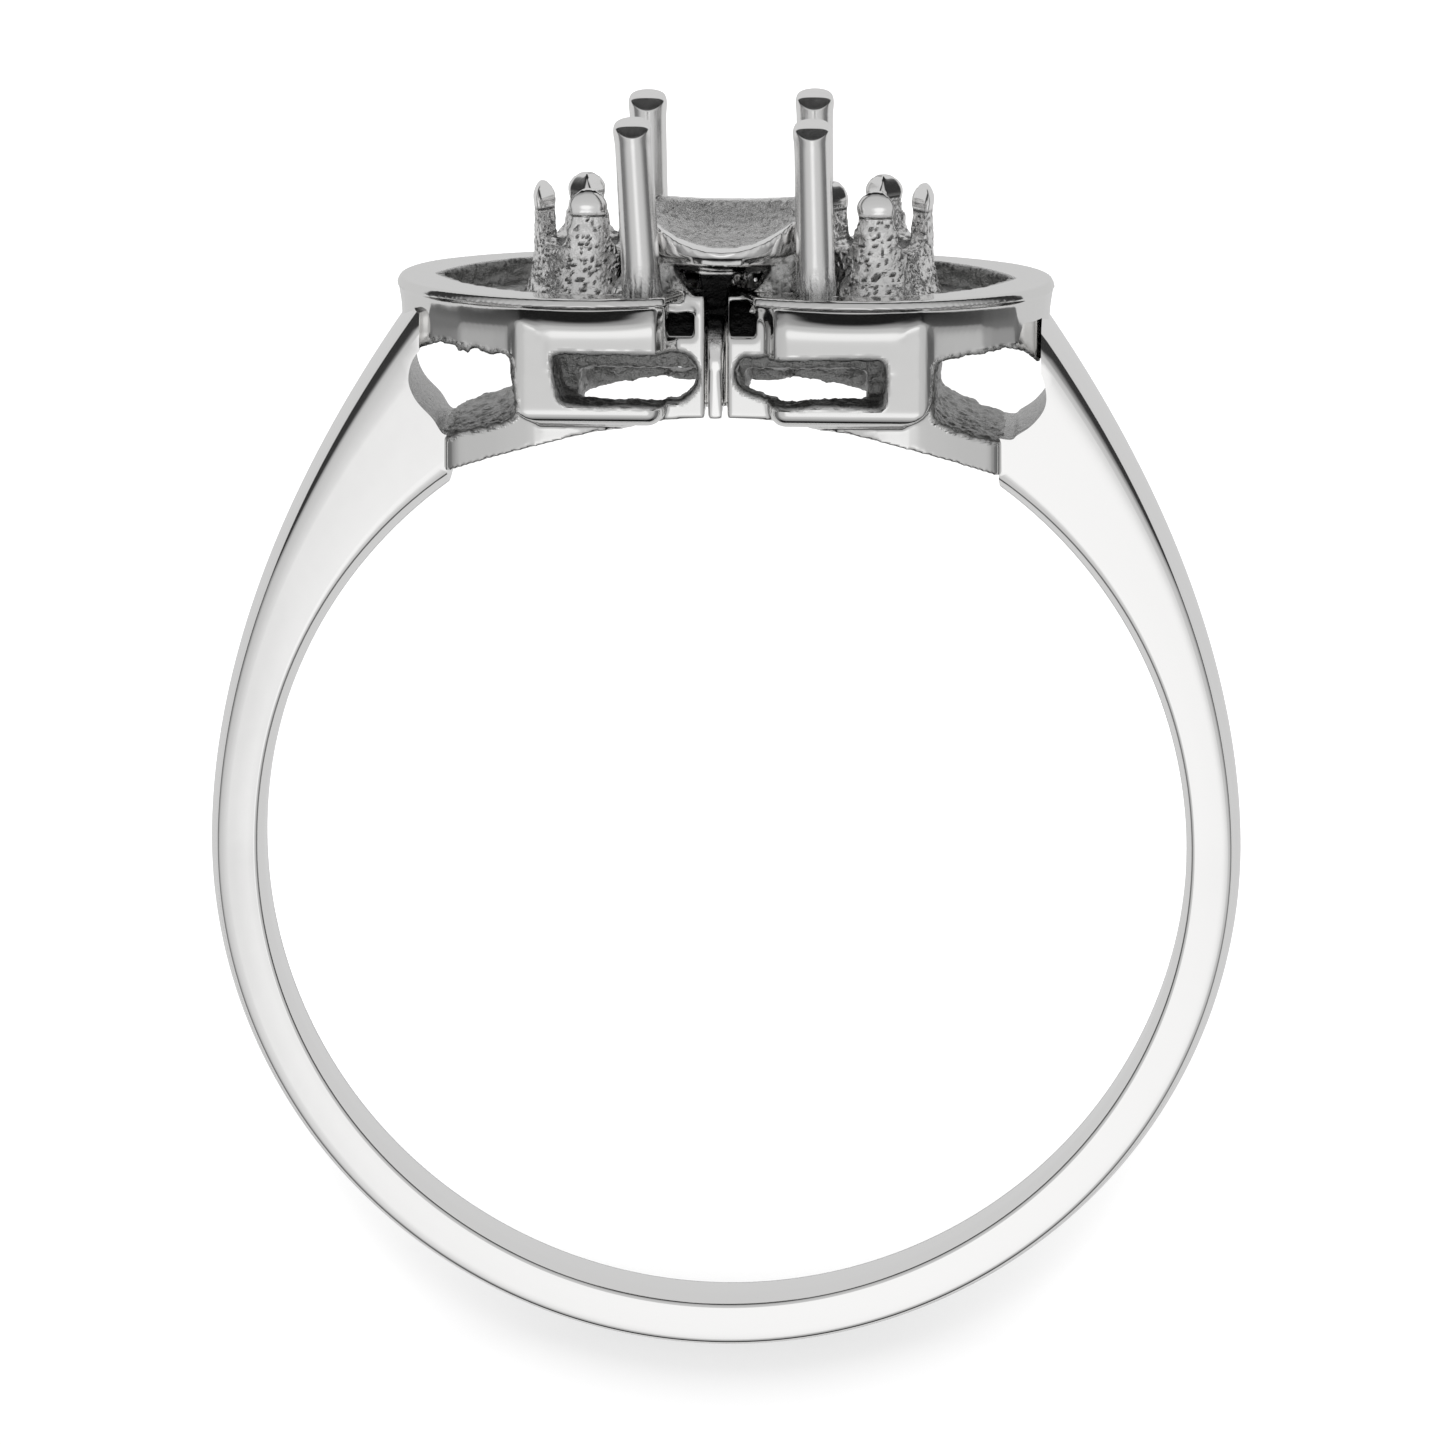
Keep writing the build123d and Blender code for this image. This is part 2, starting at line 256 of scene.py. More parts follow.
def mirror_across(piece):
    """Mirrors a shape between left and right."""
    take_up(piece)
    bpy.ops.transform.mirror(constraint_axis=(True, False, False), center_override=(0, 0, 0))
    bpy.ops.object.transform_apply(scale=True)
    turn_out(piece)


def skin_of(tools):
    """Search trees of the shapes that were cut out."""
    return [
        BVHTree.FromPolygons(
            [v.co for v in tool.data.vertices], [tuple(p.vertices) for p in tool.data.polygons]
        )
        for tool in tools
    ]


# Side windows, sawn through between each shoulder and the gallery, measured on the photograph
right_window = [
    (4.06, 0.92), (4.75, 1.04), (5.27, 1.1), (5.55, 1.03), (5.88, 0.7), (6.02, 0.3), (6.0, -0.04),
    (5.78, -0.35), (5.5, -0.55), (5.3, -0.64), (4.56, -0.45), (4.02, -0.18), (3.97, 0.06),
    (4.0, 0.55),
]
left_window = [
    (-5.54, 1.03), (-5.3, 1.12), (-4.98, 1.1), (-4.9, 1.0), (-4.82, 1.08), (-4.74, 0.97),
    (-4.66, 1.07), (-4.4, 1.04), (-4.3, 0.99), (-4.1, 1.03), (-3.94, 0.93), (-3.88, 0.54),
    (-3.86, -0.12), (-4.32, -0.36), (-4.88, -0.5), (-5.19, -0.64), (-5.42, -0.33), (-5.72, 0.0),
    (-5.86, 0.34), (-5.83, 0.65), (-5.72, 0.88),
]
seam_x = 5.15  # the shoulders end here, against the gallery
# The sawn walls' mask value is past 1: rough skin, and darker with painted shade
sawn_skin_and_shade, saw_reach = 1.35, 0.03  # the mask's value on the sawn walls, how near the saw they lie
window_tools = {
    "right": slab("window_right", over_crown(flowing(right_window)), -4, 4, along="Y"),
    "left": slab("window_left", over_crown(flowing(left_window)), -4, 4, along="Y"),
}
for tool in window_tools.values():
    combine(shank, tool, "DIFFERENCE")
for outline in (
    oblong(-seam_x, seam_x, 4, 12),  # between the shoulders, where the gallery goes
    over_crown(oblong(-5.66, 5.93, 0.6, 3)),  # over the windows, where its rim goes
):
    room = slab("room", outline, -3, 3, along="Y")
    combine(shank, room, "DIFFERENCE")
    scrap(room)
window_walls = skin_of(window_tools.values())


def sawn(face):
    """Whether a face is on a window's wall, left dull from the saw and darkened with painted shade.
    """
    gap = min(tree.find_nearest(face.center)[3] for tree in window_walls)
    return abs(face.normal.y) < 0.5 and gap < saw_reach


mask = shank.data.attributes.new("cast_skin_and_shade", "FLOAT", "FACE")
mask.data.foreach_set("value", [sawn_skin_and_shade if sawn(face) else 0.0 for face in shank.data.polygons])
mirror_across(window_tools["left"])  # for the left lobe, which is made on the right and mirrored
take_up(shank)
bpy.ops.object.shade_smooth_by_angle(angle=radians(50))


def metal_group(name, inputs, outputs):
    """An empty node group with named inputs and outputs."""
    group = bpy.data.node_groups.new(name, "ShaderNodeTree")
    for label, value in inputs:
        socket = group.interface.new_socket(label, in_out="INPUT", socket_type="NodeSocketFloat")
        socket.default_value = value
    for label in outputs:
        group.interface.new_socket(label, in_out="OUTPUT", socket_type="NodeSocketFloat")
    return group, group.nodes.new("NodeGroupInput"), group.nodes.new("NodeGroupOutput")


# Fine wheel marks and soft waves of hand polishing, which every bright face has
wheel_marks, marks_in, marks_out = metal_group(
    "wheel_marks", [("Fine", 9000.0), ("Wavy", 500.0)], ["Marks", "Waves"]
)
coordinates = wheel_marks.nodes.new("ShaderNodeTexCoord")
for scale, label, stretch in (("Fine", "Marks", (1, 1, 0.12)), ("Wavy", "Waves", (1, 1, 1))):
    mapping = wheel_marks.nodes.new("ShaderNodeMapping")
    mapping.inputs["Scale"].default_value = stretch
    noise = wheel_marks.nodes.new("ShaderNodeTexNoise")
    noise.inputs["Detail"].default_value = 3
    wheel_marks.links.new(coordinates.outputs["Object"], mapping.inputs["Vector"])
    wheel_marks.links.new(mapping.outputs["Vector"], noise.inputs["Vector"])
    wheel_marks.links.new(marks_in.outputs[scale], noise.inputs["Scale"])
    wheel_marks.links.new(noise.outputs["Fac"], marks_out.inputs[label])

# Skin left by the casting mould: pebbles, pits and a dull grain, where no wheel reaches
casting_skin, skin_in, skin_out = metal_group(
    "casting_skin", [("Pebbles", 7000.0), ("Grain", 26000.0)], ["Height", "Pits"]
)
coordinates = casting_skin.nodes.new("ShaderNodeTexCoord")
pebbles = casting_skin.nodes.new("ShaderNodeTexVoronoi")
pebbles.feature = "SMOOTH_F1"
grain = casting_skin.nodes.new("ShaderNodeTexNoise")
grain.inputs["Detail"].default_value = 4
together = casting_skin.nodes.new("ShaderNodeMath")
together.operation = "MULTIPLY_ADD"
together.inputs[1].default_value = 0.8  # share of the grain beside the pebbles
for node, label in ((pebbles, "Pebbles"), (grain, "Grain")):
    casting_skin.links.new(coordinates.outputs["Object"], node.inputs["Vector"])
    casting_skin.links.new(skin_in.outputs[label], node.inputs["Scale"])
casting_skin.links.new(grain.outputs["Fac"], together.inputs[0])
casting_skin.links.new(pebbles.outputs["Distance"], together.inputs[2])
casting_skin.links.new(together.outputs[0], skin_out.inputs["Height"])
casting_skin.links.new(grain.outputs["Fac"], skin_out.inputs["Pits"])

pit_shade = 0.55  # how much darker the dull colour is in the grain's pits
# Painted shade: the black that the mask mixes in from 1 to 2
painted_shade_black = (0.03, 0.03, 0.03, 1)


def colour_mix(nodes):
    node = nodes.new("ShaderNodeMix")
    node.data_type = "RGBA"
    return node


def map_range(nodes, start, end):
    """A Map Range node from the first pair of values to the second."""
    node = nodes.new("ShaderNodeMapRange")
    for label, value in zip(("From Min", "From Max", "To Min", "To Max"), (*start, *end)):
        node.inputs[label].default_value = value
    return node


def white_gold_finish(name, bright, dull, bright_rough, dull_rough):
    """White gold, polished where the piece's cast mask is 0 and rough from the mould where it is 1.

    From 1 on to 2 the mask darkens it towards black, as painted shade in recesses, pits and seams.
    """
    material = bpy.data.materials.new(name)
    material.use_nodes = True
    nodes, links = material.node_tree.nodes, material.node_tree.links
    metal = nodes["Principled BSDF"]
    metal.inputs["Metallic"].default_value = 1
    metal.inputs["IOR"].default_value = 1.5
    mask = nodes.new("ShaderNodeAttribute")
    mask.attribute_name = "cast_skin_and_shade"
    marks = nodes.new("ShaderNodeGroup")
    marks.node_tree = wheel_marks
    skin = nodes.new("ShaderNodeGroup")
    skin.node_tree = casting_skin

    pitted = colour_mix(nodes)
    pitted.inputs[6].default_value = [c * pit_shade for c in dull[:3]] + [1]
    pitted.inputs[7].default_value = dull
    links.new(skin.outputs["Pits"], pitted.inputs["Factor"])
    colour = colour_mix(nodes)
    colour.inputs[6].default_value = bright
    links.new(mask.outputs["Fac"], colour.inputs["Factor"])
    links.new(pitted.outputs[2], colour.inputs[7])
    # Past 1 the mask mixes in black as painted shade
    deep = nodes.new("ShaderNodeMath")
    deep.operation = "SUBTRACT"
    deep.use_clamp = True
    deep.inputs[1].default_value = 1
    links.new(mask.outputs["Fac"], deep.inputs[0])
    painted_shade_mix = colour_mix(nodes)
    painted_shade_mix.inputs[7].default_value = painted_shade_black
    links.new(deep.outputs[0], painted_shade_mix.inputs["Factor"])
    links.new(colour.outputs[2], painted_shade_mix.inputs[6])
    links.new(painted_shade_mix.outputs[2], metal.inputs["Base Color"])

    polish = map_range(nodes, (0, 1), (bright_rough * 0.8, bright_rough * 1.25))
    links.new(marks.outputs["Marks"], polish.inputs["Value"])
    rough = map_range(nodes, (0, 1), (dull_rough * 0.8, dull_rough * 1.2))
    links.new(skin.outputs["Pits"], rough.inputs["Value"])
    gloss = nodes.new("ShaderNodeMix")
    links.new(mask.outputs["Fac"], gloss.inputs["Factor"])
    links.new(polish.outputs["Result"], gloss.inputs[2])
    links.new(rough.outputs["Result"], gloss.inputs[3])
    links.new(gloss.outputs[0], metal.inputs["Roughness"])

    waves = nodes.new("ShaderNodeBump")
    waves.inputs["Strength"].default_value = 0.12
    waves.inputs["Distance"].default_value = 0.00004
    links.new(marks.outputs["Waves"], waves.inputs["Height"])
    lumps = nodes.new("ShaderNodeMath")
    lumps.operation = "MULTIPLY"
    links.new(skin.outputs["Height"], lumps.inputs[0])
    links.new(mask.outputs["Fac"], lumps.inputs[1])
    bump = nodes.new("ShaderNodeBump")
    bump.inputs["Strength"].default_value = 0.6
    bump.inputs["Distance"].default_value = 0.00005
    links.new(lumps.outputs[0], bump.inputs["Height"])
    links.new(waves.outputs["Normal"], bump.inputs["Normal"])
    links.new(bump.outputs["Normal"], metal.inputs["Normal"])
    return material


bright_gold = white_gold_finish(
    "bright_gold", white_gold, white_gold, bright_rough=0.09, dull_rough=0.26
)
hand_over(shank, bright_gold)

# Gallery: two pointed lobes, one each side of the cleft in the middle. Each has a flat rim over a
# proud straight front, and a cheek round its side window. White gold, cast, with its faces polished
# and the inside left rough, and the rims are tied to the centre setting with webs of solder.
rim_top, rim_low = crown + 2.18, crown + 2.03
lobe_length, lobe_half_depth = 6.15, 2.5
belly_at, flank_at = 0.45, (0.845, 0.68)  # shares of the length and half depth, on the outline
rim_end_wide, rim_wide = 0.8, 0.62  # from the outline in to the opening, at the end and beside it
opening_near_at = (0.09, 0.62)  # the opening's corner beside the cleft, in the same shares
front_y, recess_y = 2.14, 1.62  # half the depth over the proud front, and in the cleft
front_end_x, front_edge_r = 3.98, 0.3
front_foot, front_top = crown - 0.3, rim_low + 0.06  # it runs up into the rim
front_lean, lean_level = 0.055, 0.9  # the front leans back above that level over the crown
cleft_wall_y = recess_y - 0.1  # half the depth of the wall right under the rim, in the cleft
step_before, step_wide = 0.12, 0.3  # that wall's step from the cleft out to the front
floor_high = crown + 1.78
core_foot = 4.3  # the walls are drawn down to there, and the underside's arch cuts them off
# The walls' half outlines, low down and level with the front, as (from the middle, half depth)
low_wall = (
    (1.5, 1.6), (2.4, 1.84), (3.3, 1.9), (4.0, 1.82), (4.7, 1.62), (5.08, 1.47), (5.19, 1.3),
    (5.24, 0.8),
)
high_wall = (
    (1.6, 2.145), (3.3, 2.145), (3.75, 2.08), (4.2, 1.88), (4.9, 1.58), (5.5, 1.24), (5.85, 0.85),
    (6.02, 0.4), (6.06, 0),
)
# Curve under the rim, as (down, share of the way from the rim's edge in to the wall)
under_rim = (
    (0, 0), (0.03, 0.28), (0.08, 0.4), (0.18, 0.56), (0.28, 0.72), (0.38, 0.86), (0.47, 0.94),
    (0.56, 0.985), (0.66, 1), (0.9, 1), (1.25, 1),
)
rim_edge = ((0.12, 0), (0.015, 0.05), (0, 0.07))  # rounded upper edge, as (down, in)
# Underside: a flat arch that rises towards the back, and a closer one at the sides
arch_r, arch_crown, arch_slope, arch_side_r = 12.6, -0.14, 0.07, 9.0
hollow_box = (0.42, 2.7, 1.55, 0.62)  # from, to along X, half deep, top over the crown
hollow_corner = (0.6, 0.18)  # its radius, and how far in the middle of the bend lies
pocket_lip, pocket_slope = 0.06, 0.93  # how deep a pocket is at its foot, and deeper per mm up
# A darker copy of the white gold: painted shade, so the gallery's faces and rough inside look
# greyer
gallery_gold_painted_shade = white_gold_finish(
    "gallery_gold_painted_shade", (0.86, 0.857, 0.85, 1), (0.5, 0.5, 0.495, 1),
    bright_rough=0.09, dull_rough=0.34,
)


def arc(first, middle, last, steps):
    """Points from first, over middle, up to but not with last, on one circle."""
    (ax, ay), (bx, by), (cx, cy) = first, middle, last
    d = 2 * (ax * (by - cy) + bx * (cy - ay) + cx * (ay - by))
    a2, b2, c2 = ax * ax + ay * ay, bx * bx + by * by, cx * cx + cy * cy
    ux = (a2 * (by - cy) + b2 * (cy - ay) + c2 * (ay - by)) / d
    uy = (a2 * (cx - bx) + b2 * (ax - cx) + c2 * (bx - ax)) / d
    r = sqrt((ax - ux) ** 2 + (ay - uy) ** 2)
    start, mid, end = (atan2(y - uy, x - ux) for x, y in (first, middle, last))
    turn = (end - start) % (2 * pi)
    if (mid - start) % (2 * pi) > turn:
        turn -= 2 * pi
    return [
        (ux + r * cos(start + turn * k / steps), uy + r * sin(start + turn * k / steps))
        for k in range(steps)
    ]


def rim_line(near, point, inset=0):
    """Pointed oval of the right rim, with its front corner at near and its point at the cleft.

    The inset draws it in all round, and by half as much at the cleft.
    """
    near = (near[0], near[1] - inset)
    point = (point[0], point[1] - inset * 0.5)
    belly = (belly_at * lobe_length, lobe_half_depth - inset)
    flank = (
        flank_at[0] * lobe_length - 0.45 * inset, flank_at[1] * lobe_half_depth - 0.85 * inset
    )
    line = arc((near[0], -near[1]), (belly[0], -belly[1]), (flank[0], -flank[1]), 24)
    line += arc((flank[0], -flank[1]), (lobe_length - inset, 0), flank, 24)
    line += arc(flank, belly, near, 24)
    return line + [near, point, (0, point[1]), (0, -point[1]), (point[0], -point[1])]


def rod(vertices, radius, depth, place=(0, 0, 0), tilt=0):
    """A round bar along Z, or tilted from there about X."""
    put_down_tools()
    bpy.ops.mesh.primitive_cylinder_add(
        vertices=vertices, radius=radius, depth=depth, location=place, rotation=(tilt, 0, 0)
    )
    bpy.ops.object.transform_apply(location=True, rotation=True)
    return bpy.context.object


arch_tool = rod(256, arch_side_r, 12, tilt=pi / 2)
arch_lid = rod(
    360, arch_r, 14, (0, 0, crown + arch_crown - arch_r), tilt=pi / 2 + atan2(arch_slope, 1)
)
combine(arch_tool, arch_lid, "INTERSECT")
scrap(arch_lid)


def wall_under(line, recess_x):
    """The upper wall's line, with a point for each point of the rim's line."""
    wall = []
    for x, y in line:
        x = min(x, high_wall[-1][0])
        deep = cleft_wall_y
        if x > recess_x - step_before:
            share = min(1, (x - recess_x + step_before) / step_wide)
            deep += (high_wall[0][1] - deep) * share * (2 - share)
        for (x0, y0), (x1, y1) in zip(high_wall, high_wall[1:]):
            if x0 <= x <= x1:
                deep = y0 + (y1 - y0) * (x - x0) / (x1 - x0)
        wall.append((x, max(-deep, min(deep, y))))
    return wall


def lobe_body(name, near, point, recess_x):
    """The right lobe, filled: the proud front, the walls behind it, and the rim out over them."""
    # The front is drawn too high and then cut off, so that the bevel doesn't round its top
    front = oblong(recess_x, front_end_x, -front_y, front_y)
    lobe = slab(name, front, front_foot, front_top + 0.4)
    for vertex in lobe.data.vertices:
        vertex.co.y *= 1 + front_lean * (crown + lean_level - vertex.co.z) / front_y
    finish_with(lobe, "BEVEL", width=front_edge_r, segments=7, limit_method="ANGLE")
    above = slab("above", oblong(-1, 5, -4, 4), front_top, front_top + 1)
    # The front's lower outer corner is rounded
    outside = [(4.3, crown - 0.5), (4.3, crown + 0.5)]
    outside += arc(
        (front_end_x, crown + 0.45), (front_end_x - 0.2, crown - 0.05), (3.28, crown - 0.25), 8
    )
    corner = slab("corner", outside + [(3.28, crown - 0.5)], -3, 3, along="Y")
    for tool in (above, corner):
        combine(lobe, tool, "DIFFERENCE")
    # Walls: low down a little behind the front, and above the window level with it
    half = [(x, -y) for x, y in low_wall]
    outline = flowing(half + [(low_wall[-1][0], 0)] + list(reversed(low_wall)), 4)
    walls = slab("walls", outline, core_foot, crown + 0.6)
    behind = slab("behind", oblong(0, 2, -recess_y, recess_y), core_foot, front_top)
    line = rim_line(near, point)
    wall = wall_under(line, recess_x)
    levels = []
    for low, share in reversed(under_rim):
        lean = 1 - front_lean * (rim_low - low - crown - lean_level) / front_y
        levels.append((rim_low - low, [
            (a + (c - a) * share, b + (d * lean - b) * share) for (a, b), (c, d) in zip(line, wall)
        ]))
    levels += [(rim_top - down, rim_line(near, point, inset)) for down, inset in rim_edge]
    rim = loft("rim", levels)
    for part in (walls, behind, rim):
        combine(lobe, part, "UNION")
    combine(lobe, arch_tool, "DIFFERENCE")
    scrap(above, corner, walls, behind, rim)
    return lobe


# Outlines of the slots, measured on the photograph, as (from the middle, over the crown)
right_slot = [
    (0.3, 0.79), (0.42, 0.93), (0.62, 0.93), (1.3, 0.95), (2.0, 0.975), (2.7, 0.985), (2.97, 0.97),
    (3.04, 0.82), (3.04, 0.5), (3.0, 0.2), (2.9, 0.14), (2.6, 0.16), (1.9, 0.19), (1.3, 0.13),
    (0.97, 0.15), (0.74, 0.22), (0.42, 0.34), (0.28, 0.54),
]
left_slot = [
    (-3.06, 1.04), (-2.5, 1.05), (-1.93, 1.05), (-1.09, 1.03), (-0.76, 1.0), (-0.58, 0.92),
    (-0.47, 0.66), (-0.49, 0.44), (-0.64, 0.24), (-0.9, 0.12), (-1.7, 0.16), (-2.4, 0.15),
    (-2.9, 0.2), (-3.02, 0.4), (-3.08, 0.75),
]


def lobe_openings(slot, pocket, groove):
    """Shapes of the spaces in the right lobe: top opening, hollow, grooves, slots and pockets."""
    end, front = lobe_length - rim_end_wide, lobe_half_depth - rim_wide
    near = (opening_near_at[0] * end, opening_near_at[1] * front)
    belly = (belly_at * end, front)
    opening = arc((near[0], -near[1]), (belly[0], -belly[1]), (end, 0), 20)
    opening += arc((end, 0), belly, near, 20) + [near]
    tools = [slab("opening", opening, floor_high, rim_top + 1)]
    x0, x1, deep, high = hollow_box
    r, bend = hollow_corner
    neck = [(x0, -1.2), (1.0, -1.2), (1.15, -deep)]  # narrower beside the cleft
    hollow = neck + arc((x1 - r, -deep), (x1 - bend, -deep + bend), (x1, -deep + r), 6)
    hollow += arc((x1, deep - r), (x1 - bend, deep - bend), (x1 - r, deep), 6)
    hollow += [(x, -y) for x, y in reversed(neck)]
    tools.append(slab("hollow", hollow, crown - 3, crown + high))
    edges = [(-1, -1), (groove, -1), (groove, 1.9), (groove + 0.04, 2.6), (-1, 2.6)]
    for side in (-1, 1):
        tools.append(slab("groove", over_crown(edges), side * 0.8, side * 3, along="Y"))
        tools.append(slab("slot", over_crown(flowing(slot)), side * 1.05, side * 3, along="Y"))
        wedge = slab("pocket", oblong(*pocket), side * 1.0, side * 2.6, along="Y")
        for vertex in wedge.data.vertices:
            if abs(vertex.co.y) < 1.5:  # the pocket's back slopes up and inwards
                rise = vertex.co.z - pocket[2]
                vertex.co.y = side * (recess_y - pocket_lip - rise * pocket_slope)
            vertex.co.z += crown
        tools.append(wedge)
    return tools


def cast_solid(piece, voxel, polishing):
    """Runs the piece's parts together as in a mould, and softens its edges as polishing does."""
    finish_with(piece, "REMESH", mode="VOXEL", voxel_size=voxel)
    finish_with(piece, "SMOOTH", factor=0.5, iterations=polishing)
    take_up(piece)
    bpy.ops.object.shade_smooth()


def mark_cast(piece, also, deep, dull=1, tools=(), reach=0.06):
    """Marks the skin that no wheel reaches: next to what was cut out, and where also says so.

    The group "cast" has it for the lumps. The attribute "cast_skin_and_shade" has it for the
    metal, times dull, and deep raises it there towards 2, which is black: painted shade.
    """
    trees = skin_of(tools)
    group = piece.vertex_groups.new(name="cast")
    shares = []
    for number, vertex in enumerate(piece.data.vertices):
        share = also(vertex.co)
        if trees:
            gap = min(tree.find_nearest(vertex.co)[3] for tree in trees)
            share = max(share, min(1, 1.6 - gap / reach))  # fades from 0.6 to 1.6 of the reach
        if share > 0:
            group.add([number], share, "REPLACE")
        share *= dull
        shares.append(max(share, deep(vertex.co, share)))
    mask = piece.data.attributes.new("cast_skin_and_shade", "FLOAT", "POINT")
    mask.data.foreach_set("value", shares)


def roughen(piece, strength, size, where="cast"):
    """Real lumps in the marked skin."""
    lumps = bpy.data.textures.new(piece.name + "_lumps", "CLOUDS")
    lumps.noise_scale = size
    finish_with(
        piece, "DISPLACE", texture=lumps, strength=strength, mid_level=0.5,
        vertex_group=where, texture_coords="LOCAL",
    )


# Pits: their scale, the height of the noise from which a pit starts, its soft edge, its darkness of
# painted shade
pits_per_mm, pit_from, pit_blur, pit_painted_shade = 15, 0.24, 0.14, 1.6


def pits(p, share):
    """How black the small pits are that the mould leaves in its skin: painted shade, as they have
    no depth.
    """
    spot = (chance.noise(p * pits_per_mm) - pit_from) / pit_blur
    return pit_painted_shade * share * min(1, spot)


# Painted shade: how far it reaches from a pocket's wall, and how dark it makes the slots
shade_reach = 0.04  # from the pocket's wall
behind_y, under_z = recess_y - 0.07, crown + 2.06  # the pockets lie behind the wall, under the rim
slot_high, slot_end, slot_shade = crown + 1.2, 3.3, 1.6  # the slots reach that high and far out


def lobe_painted_shade(p, share, pockets):
    """Painted shade: black fills the pockets and darkens the slots, and the other skin gets black
    pits.
    """
    if abs(p.y) < behind_y and p.z < under_z:
        gap = min(tree.find_nearest(p)[3] for tree in pockets)
        return 2 * min(1, max(0, 2 - gap / shade_reach))
    in_slot = p.z < slot_high and p.x < slot_end
    return max((slot_shade if in_slot else 1) * share, pits(p, share))


web_foot, web_lean = 1.8, 0.42  # its outer face leans in from its foot up
web_outline = [(0.5, web_foot), (0.6, 2.15), (1.15, 2.95), (1.4, 3.1), (1.8, 2.5), (2.1, 1.85)]
web_inside, web_outside = 0.9, 1.72  # from the middle, towards the front or the back
web_dull, web_low = 0.7, crown + 2.22


def solder_web(lobe, side):
    """Runs a lumpy web of solder from the rim's point up to the cup and the prong."""
    web = slab(
        "web", over_crown(web_outline), side * web_inside, side * web_outside, along="Y"
    )
    for vertex in web.data.vertices:
        if abs(vertex.co.y) > 1.5:
            vertex.co.y -= side * web_lean * (vertex.co.z - crown - web_foot)
    finish_with(web, "REMESH", mode="VOXEL", voxel_size=0.06)
    roughen(web, strength=0.3, size=0.3, where="")
    combine(lobe, web, "UNION")
    scrap(web)


def web_skin(p):
    """Over the rim, where only the webs are, the skin is left rough from the torch."""
    return min(web_dull, max(0, (p.z - web_low) / 0.1)) if p.x > 0.4 else 0


# Each lobe's slot, pocket (along X and over the crown, from and to), the rim's corners at the front
# and at the cleft, half width of the groove between the lobes, and where the proud front starts
lobes = {
    "right": (right_slot, (0.13, 0.64, 1.3, 2.02), (0.62, 2.16), (0.16, 1.0), 0.1, 0.9),
    "left": (
        [(-x, z) for x, z in reversed(left_slot)], (0.52, 1.03, 1.3, 2.02), (1.05, 2.24),
        (0.34, 1.05), 0.32, 1.06,
    ),
}
for side, (slot, pocket, near, point, groove, recess_x) in lobes.items():
    lobe = lobe_body("gallery_" + side, near, point, recess_x)
    tools = lobe_openings(slot, pocket, groove) + [window_tools[side]]
    for tool in tools:
        combine(lobe, tool, "DIFFERENCE")
    solder_web(lobe, -1)
    solder_web(lobe, 1)
    cast_solid(lobe, voxel=0.043, polishing=3)
    pockets = skin_of([tool for tool in tools if "pocket" in tool.name])
    mark_cast(
        lobe, web_skin, lambda p, share: lobe_painted_shade(p, share, pockets),
        tools=[tool for tool in tools if "groove" not in tool.name and "pocket" not in tool.name],
    )
    roughen(lobe, strength=0.1, size=0.22)
    roughen(lobe, strength=0.05, size=0.08)
    scrap(*tools)
    if side == "left":
        mirror_across(lobe)
    hand_over(lobe, gallery_gold_painted_shade)

# Centre setting: a shallow cup for the centre stone, on two ribs that rise in the cleft, front and
# back. White gold, cast, and polished outside. The cup's inside is left rough, and the cleft is
# painted black as shade.
rib_x, rib_half = -0.13, 0.13
keel_low, keel_flare = 1.4, 0.18  # over the crown, where the ribs start to widen, and how much
cup_top, cup_low = crown + 3.55, crown + 2.68
# Part of the cleft painted black, as painted shade
shade_low, shade_high = crown + 1.05, crown + 2.5  # black part of the cleft
profile = [
    (0.001, crown + 2.0), (0.3, crown + 2.0), (0.5, crown + 2.3), (0.9, crown + 2.4),
    (1.3, crown + 2.5), (1.75, crown + 2.68), (1.89, crown + 2.86), (1.94, crown + 3.1),
    (1.98, cup_top), (1.7, cup_top), (1.56, crown + 3.16), (1.3, crown + 2.92),
    (0.8, crown + 2.78), (0.001, crown + 2.74),
]
put_down_tools()
bpy.ops.mesh.primitive_circle_add(vertices=len(profile), radius=1, fill_type="NOTHING")
centre_setting = bpy.context.object
centre_setting.name = "centre_setting"
for vertex, (r, z) in zip(centre_setting.data.vertices, profile):
    vertex.co = (r, 0, z)
bpy.ops.object.mode_set(mode="EDIT")
bpy.ops.mesh.select_all(action="SELECT")
bpy.ops.mesh.spin(steps=96, angle=2 * pi, center=(0, 0, 0), axis=(0, 0, 1))
bpy.ops.mesh.select_all(action="SELECT")
bpy.ops.mesh.remove_doubles(threshold=0.003)
turn_out(centre_setting)
# Dips in the cup's edge: a deep one in front, a flat one behind and one towards each side stone
for low, radius, angle in ((2.98, 1.95, 0), (3.3, 6, 180), (3.15, 3.0, 90), (3.15, 3.0, -90)):
    scoop = rod(160, radius, 3.6, (0, -2.3, crown + low + radius), tilt=pi / 2)
    scoop.data.transform(Matrix.Rotation(radians(angle), 4, "Z"))
    combine(centre_setting, scoop, "DIFFERENCE")
    scrap(scoop)
